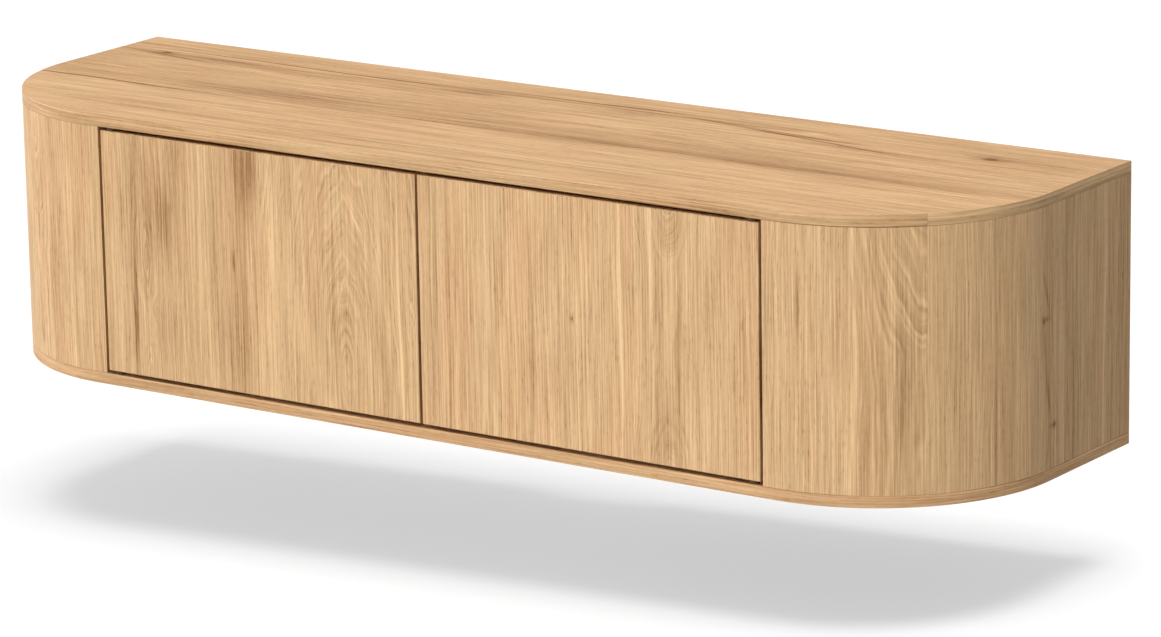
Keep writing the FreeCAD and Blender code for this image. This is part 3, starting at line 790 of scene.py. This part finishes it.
SIDE_RIGHT = oak(
    "oak_right_side",
    "attribute",
    leaves=[
        Leaf(EVERYWHERE, -0.9, tone=0.08, figure=0.6),
        Leaf(0.066, 1.2, tone=0.08, figure=0.5),
        Leaf(0.170, 0.9, tone=-0.05, figure=0.4),
        Leaf(0.274, 1.4, tone=0.03, figure=0.35),
        Leaf(0.404, 0.398, (0.20,), lean=0.24, sunk=0.075, tone=0.13, ripple=0.9, figure=-0.9, coarse=1.35),
        Leaf(0.500, 1.6, ripple=0.6, figure=0.8),
    ],
    streaks=[
        (0.208, -0.12, 0.016, 0.4, 0.18),
        (0.2150, -0.067, 0.0028, 0.034, 0.30, 0.25),
        (0.2160, -0.102, 0.0085, 0.0035, 0.34),
        (0.2180, -0.140, 0.0030, 0.034, 0.30, 0.09),
        (0.2110, -0.200, 0.0034, 0.026, 0.26, 0.18),
        (0.1990, -0.244, 0.0075, 0.0034, 0.32),
        (0.2110, -0.275, 0.0034, 0.028, 0.22, -0.18),
        (0.170, -0.02, 0.012, 0.08, 0.16),
        (0.150, -0.22, 0.014, 0.14, 0.16),
        (0.310, -0.15, 0.0030, 0.3, 0.14),
        (0.273, -0.12, 0.0030, 0.3, -0.14),
        (0.064, -0.12, 0.0030, 0.3, -0.20),
        (0.020, -0.12, 0.0160, 0.3, 0.12),
        (0.500, -0.12, 0.0035, 0.30, -0.26),
        (0.448, -0.12, 0.0030, 0.14, -0.24),
        (0.438, -0.20, 0.0120, 0.14, 0.14),
        (0.570, -0.06, 0.0030, 0.05, 0.24),
    ],
    knots=[(0.222, -0.105, 0.0021), (0.194, -0.243, 0.0019)],
    tone=0.01,
    rose=-0.30,
    seed=8.3,
)
SIDE_LEFT = oak(
    "oak_left_side",
    "attribute",
    leaves=[
        Leaf(EVERYWHERE, 1.4, figure=0.6),
        Leaf(0.330, 0.475, (0.02,), lean=0.24, sunk=0.030, tone=0.03, ripple=1.1, figure=0.8),
        Leaf(0.540, 1.6, figure=0.7),
    ],
    streaks=[(0.520, -0.12, 0.010, 0.3, 0.10), (0.560, -0.12, 0.0030, 0.3, -0.16)],
    tone=0.03,
    seed=11.9,
)
SLAB_TOP = oak(
    "oak_top",
    "attribute",
    leaves=[
        Leaf(EVERYWHERE, -0.9, tone=-0.11, ripple=0.5, figure=0.6),
        Leaf(-0.268, -0.18, (-0.35,), lean=0.06, sunk=0.02, tone=-0.04, ripple=0.9, figure=0.5),
        Leaf(-0.150, 0.4, tone=-0.02, ripple=0.5, figure=0.5),
        Leaf(-0.062, 0.7, tone=-0.03, ripple=0.5, figure=0.5),
    ],
    streaks=[
        (-0.268, -0.66, 0.0026, 0.18, 0.95),
        (-0.225, -0.05, 0.0360, 0.90, 0.15),
        (-0.262, -0.12, 0.0040, 0.18, 0.36),
        (-0.255, 0.50, 0.0120, 0.26, 0.22),
        (-0.258, 0.22, 0.0040, 0.16, 0.22),
        (-0.045, -0.78, 0.0050, 0.10, 0.30),
        (-0.228, -0.40, 0.0200, 0.12, 0.17),
        (-0.250, 0.12, 0.0240, 0.30, 0.10),
        (-0.066, -0.45, 0.0026, 0.36, 0.75),
        (-0.058, 0.02, 0.0024, 0.26, 0.60),
        (-0.098, 0.345, 0.0024, 0.17, 0.62, -0.17),
        (-0.086, 0.320, 0.0024, 0.10, 0.40, -0.13),
        (-0.100, -0.70, 0.0026, 0.08, 0.45, -0.14),
        (-0.072, 0.365, 0.0050, 0.018, -0.45),
        (-0.090, -0.60, 0.0080, 0.22, 0.26),
        (-0.105, -0.48, 0.0060, 0.20, 0.22),
        (-0.072, 0.10, 0.0036, 0.32, 0.34),
        (-0.095, 0.36, 0.0040, 0.10, 0.36),
        (-0.120, 0.50, 0.0050, 0.14, 0.34),
        (-0.085, -0.17, 0.0070, 0.05, 0.34),
        (-0.080, 0.65, 0.0140, 0.08, 0.24),
        (-0.400, 0.20, 0.0030, 0.60, 0.16),
        (-0.388, -0.30, 0.0030, 0.30, 0.20),
        (-0.432, -0.10, 0.0040, 0.40, 0.22),
        (-0.300, 0.62, 0.0030, 0.12, 0.20),
        (-0.345, 0.10, 0.0030, 0.50, -0.12),
        (-0.145, 0.30, 0.0160, 0.60, -0.08),
    ],
    knots=[(-0.083, -0.715, 0.006), (-0.086, 0.642, 0.009)],
    rose=0.8,
    seed=14.2,
    clouds=2.8,
)
SLAB_BASE = oak("oak_base", "attribute", tone=0.05, seed=17.6)

# The top band is joined at the right corner, and each band has a dark seam where it meets the sides.
JOINT_FROM_WALL = 0.404
SEAM_INSET = 0.0003
SEAM_HALF = 0.0006
SEAM_TONE = 0.40
ENDLESS = 9.0


def seam(height):
    """A streak along the whole band."""
    return height, GIRTH / 2, SEAM_HALF, ENDLESS, SEAM_TONE


EDGE_TOP = oak(
    "oak_top_edge",
    "attribute",
    leaves=[Leaf(EVERYWHERE, -0.2, ripple=0.1, figure=0.5)],
    streaks=[
        seam(CEILING + SEAM_INSET),
        (TOP - 0.0012, GIRTH - 0.20, 0.0010, 0.26, 0.18),
        (TOP - 0.0070, GIRTH - 0.20, 0.0009, 0.26, 0.14),
        (CEILING + 0.0035, GIRTH - 0.16, 0.0008, 0.22, 0.08),
    ],
    tone=0.12,
    rose=-0.20,
    seed=19.4,
    wander=0.05,
    joints=[(GIRTH - JOINT_FROM_WALL, -0.14)],
)
EDGE_BASE = oak(
    "oak_base_edge",
    "attribute",
    leaves=[Leaf(EVERYWHERE, -0.5, ripple=0.1, figure=0.5)],
    streaks=[seam(BASE_HIGH.z - SEAM_INSET)],
    tone=0.10,
    rose=0.6,
    seed=21.8,
    wander=0.05,
)
# The door bands' tone is painted shade. It darkens the whole band, including its faces inside the gaps round
# the doors, so that those gaps read dark as if shaded.
DOOR_EDGE_GAP_SHADE = oak("oak_door_edge_painted_shade", "attribute", tone=0.20, seed=13.3)
BOARD_UPRIGHT = oak("oak_upright_board", "yzx", tone=0.06, seed=23.5)
BOARD_BACK = oak("oak_back_board", "xzy", tone=0.08, seed=26.1)
BOARD_SHELF = oak("oak_shelf_board", "yxz", tone=0.05, seed=28.7)

slab("top_board", CEILING, TOP, None, SLAB_TOP, "top_slab")
slab("base_board", BASE_LOW.z, BASE_HIGH.z, NOTCH, SLAB_BASE, "bottom_slab")
edge_band("top_band", CEILING, TOP, EDGE_TOP, "top_edge_band")
edge_band("base_band", BASE_LOW.z, BASE_HIGH.z, EDGE_BASE, "bottom_edge_band")
curved_side("left_shell", -1, SIDE_LEFT, "left_curved_side")
curved_side("right_shell", 1, SIDE_RIGHT, "right_curved_side")
for side, veneer in (("left", DOOR_LEFT), ("right", DOOR_RIGHT)):
    door_core(side + "_door_board", side + "_door", side + "_door", veneer)
    door_band(side + "_door_band", side + "_door_edge_band", side + "_door", DOOR_EDGE_GAP_SHADE)

# The frame's own meshes get a finish by material slot, and some by node. The other slots' nodes are replaced.
FINISHES = {
    "oak_board": BOARD_UPRIGHT,
    "plywood": plywood("birch_plywood"),
    "beech": oak("beech_dowel", "xzy", tone=0.02, seed=31.3),
    "zinc_screw": plated_steel("bright_zinc", (0.62, 0.63, 0.65, 1), 0.28),
    "steel_plate": plated_steel("rail_steel", (0.50, 0.52, 0.54, 1), 0.36),
    "cast_zinc": plated_steel("cast_zinc", (0.46, 0.47, 0.48, 1), 0.42),
    "hanger_steel": painted("grey_powder_coat", srgb(190, 192, 194), 0.40),
    "nylon": moulded("dark_nylon", srgb(82, 56, 36), 0.80),
    "grommet_plastic": moulded("black_plastic", srgb(34, 33, 32), 0.50),
    "cover_plastic": moulded("pale_plastic", srgb(205, 205, 200), 0.46),
    "latch_plastic": moulded("grey_plastic", srgb(120, 120, 118), 0.50),
    "plunger_plastic": moulded("plunger_plastic", srgb(196, 196, 190), 0.42),
}
NODE_FINISHES = {
    "back_panel": BOARD_BACK,
    "left_end_back": BOARD_BACK,
    "right_end_back": BOARD_BACK,
    "left_shelf": BOARD_SHELF,
    "right_shelf": BOARD_SHELF,
}
SLOTS = {part["node"]: part["material_slot"] for part in frame["record"]["subparts"]}
for name, item in frame["nodes"].items():
    finish = NODE_FINISHES.get(name, FINISHES.get(SLOTS[name]))
    if finish:
        item.data.materials.clear()
        item.data.materials.append(finish)

# ---------------------------------------------------------------- floor, light and camera

FLOOR_DROP = 0.190
FLOOR_SLOPE = 0.040
FLOOR_HALF = 14.0
FLOOR_BOUNCE = 0.22
FLOOR_SEEN = 0.70
FLOOR_TINT = (1.008, 1.0, 0.988)
FLOOR_GLOW = 0.440
FLOOR_GLOW_TINT = (0.965, 0.995, 1.035, 1)
WORLD_LIGHT = 0.27

# Each lamp's azimuth and height in degrees, its strength, and its spread in degrees.
LAMPS = {
    "front": (-5, 3, 0.65, 6),
    "right": (104, 6, 0.08, 12),
    "left": (-88, 6, 0.42, 12),
    "back": (180, 6, 0.35, 12),
    "overhead": (60, 84, 0.55, 36),
}

# The camera looks down on the cabinet from its right. The picture's width and the focal length are in pixels.
CAMERA_PLACE = (4.0766, -5.9427, 1.5973)
CAMERA_YAW = 34.865
CAMERA_PITCH = 14.405
CAMERA_ROLL = 0.977
FOCAL_PIXELS = 5406
PICTURE_WIDTH = 1161
SENSOR_MM = 36.0


def studio_floor():
    """A white floor below the hung cabinet: pale to look at, quieter as a source of light, clear from below.

    It rises a little towards the right, so that the shadow lies as in the picture at both ends.
    """
    level = cad_box[0][2] - FLOOR_DROP
    near, far = -FLOOR_HALF, FLOOR_HALF
    corners = [(near, near), (far, near), (far, far), (near, far)]
    mesh = bpy.data.meshes.new("floor")
    mesh.from_pydata([(x, y, level + x * FLOOR_SLOPE) for x, y in corners], [], [(0, 1, 2, 3)])
    graph = Graph("studio_floor")
    path = graph.node("ShaderNodeLightPath").outputs
    seen = graph.math("MAXIMUM", path["Is Camera Ray"], path["Is Glossy Ray"])
    seen = graph.math("MAXIMUM", seen, path["Is Transmission Ray"])
    grey = graph.choose(seen, FLOOR_BOUNCE, FLOOR_SEEN)
    tinted = graph.vector(*(graph.times(grey, channel) for channel in FLOOR_TINT))
    graph.feed(graph.shader.inputs["Base Color"], tinted)
    graph.shader.inputs["Roughness"].default_value = 1.0
    graph.shader.inputs["Specular IOR Level"].default_value = 0.0
    graph.shader.inputs["Emission Color"].default_value = FLOOR_GLOW_TINT
    graph.feed(graph.shader.inputs["Emission Strength"], graph.times(seen, FLOOR_GLOW))
    clear = graph.node("ShaderNodeBsdfTransparent").outputs[0]
    below = graph.node("ShaderNodeNewGeometry").outputs["Backfacing"]
    sides = graph.node("ShaderNodeMixShader")
    for socket, value in zip(sides.inputs, (below, graph.shader.outputs[0], clear)):
        graph.feed(socket, value)
    graph.tree.links.new(sides.outputs[0], graph.tree.nodes["Material Output"].inputs["Surface"])
    mesh.materials.append(graph.material)
    floor = bpy.data.objects.new("floor", mesh)
    bpy.context.scene.collection.objects.link(floor)


def studio_world():
    """A world that is white to look at and plain soft light otherwise."""
    world = bpy.data.worlds.new("studio")
    bpy.context.scene.world = world
    world.use_nodes = True
    tree = world.node_tree
    shade = tree.nodes["Background"]
    shade.inputs["Color"].default_value = (1, 1, 1, 1)
    path = tree.nodes.new("ShaderNodeLightPath").outputs
    seen = tree.nodes.new("ShaderNodeMath")
    seen.operation = "MAXIMUM"
    tree.links.new(path["Is Camera Ray"], seen.inputs[0])
    tree.links.new(path["Is Transmission Ray"], seen.inputs[1])
    strength = tree.nodes.new("ShaderNodeMath")
    strength.operation = "MAXIMUM"
    tree.links.new(seen.outputs[0], strength.inputs[0])
    strength.inputs[1].default_value = WORLD_LIGHT
    tree.links.new(strength.outputs[0], shade.inputs["Strength"])


def bearing(azimuth, height):
    """A direction: azimuth 0 is towards the front, and 90 towards the cabinet's right end."""
    azimuth = math.radians(azimuth)
    height = math.radians(height)
    level = math.cos(height)
    return Vector((math.sin(azimuth) * level, -math.cos(azimuth) * level, math.sin(height)))


def sun(name, azimuth, height, strength, spread):
    """A distant lamp in that direction; strength is what a facing surface gets."""
    data = bpy.data.lights.new(name, "SUN")
    data.energy = strength * math.pi
    data.angle = math.radians(spread)
    lamp = bpy.data.objects.new(name, data)
    lamp.rotation_euler = bearing(azimuth, height).to_track_quat("Z", "Y").to_euler()
    bpy.context.scene.collection.objects.link(lamp)


def studio_camera():
    """The picture's camera."""
    yaw, pitch, roll = (math.radians(angle) for angle in (CAMERA_YAW, CAMERA_PITCH, CAMERA_ROLL))
    ahead = Vector((-math.sin(yaw) * math.cos(pitch), math.cos(yaw) * math.cos(pitch), -math.sin(pitch)))
    level = Vector((math.cos(yaw), math.sin(yaw), 0))
    down = ahead.cross(level)
    right = level * math.cos(roll) + down * math.sin(roll)
    up = right.cross(ahead)
    data = bpy.data.cameras.new("camera")
    data.sensor_width = SENSOR_MM
    data.lens = FOCAL_PIXELS / PICTURE_WIDTH * SENSOR_MM
    data.clip_end = 100
    camera = bpy.data.objects.new("camera", data)
    turn = Matrix((right, up, -ahead)).transposed().to_4x4()
    camera.matrix_world = Matrix.Translation(CAMERA_PLACE) @ turn
    bpy.context.scene.collection.objects.link(camera)
    bpy.context.scene.camera = camera


studio_floor()
studio_world()
for name, (azimuth, height, strength, spread) in LAMPS.items():
    sun(name, azimuth, height, strength, spread)
studio_camera()
bpy.context.scene.view_settings.view_transform = "Standard"
